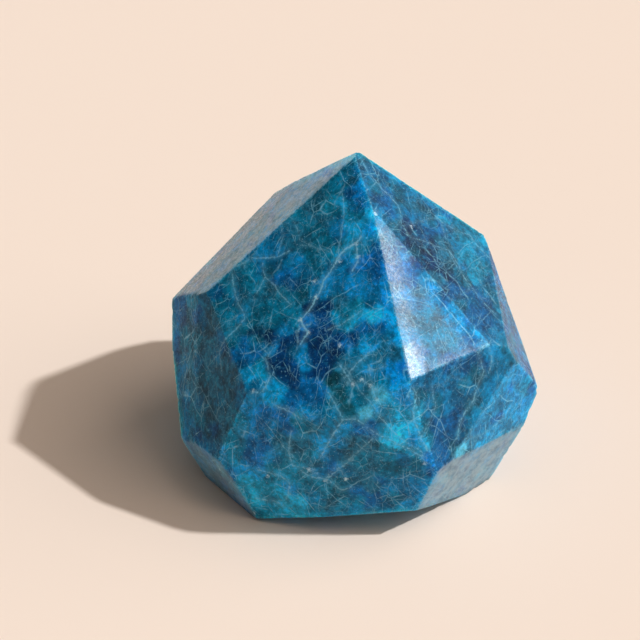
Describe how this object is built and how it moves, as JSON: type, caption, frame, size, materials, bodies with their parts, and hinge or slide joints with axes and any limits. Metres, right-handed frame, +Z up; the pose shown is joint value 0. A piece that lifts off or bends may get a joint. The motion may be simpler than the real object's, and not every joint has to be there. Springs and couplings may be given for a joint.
{
  "type": "polished blue apatite gemstone",
  "caption": "Freely faceted and polished piece of blue apatite, pointed at the top, that rests on a flat base facet.",
  "frame": {"origin": "on the plane of the base facet, under the middle of the bounding box", "axes": "+Z up from the base facet, +X to the right and -Y to the front, with the bright sloping facet at the front right"},
  "size_m": [0.038, 0.0352, 0.0335],
  "materials": {
    "apatite": "polished"
  },
  "bodies": {
    "root": {"apatite_stone": "apatite"}
  },
  "joints": []
}
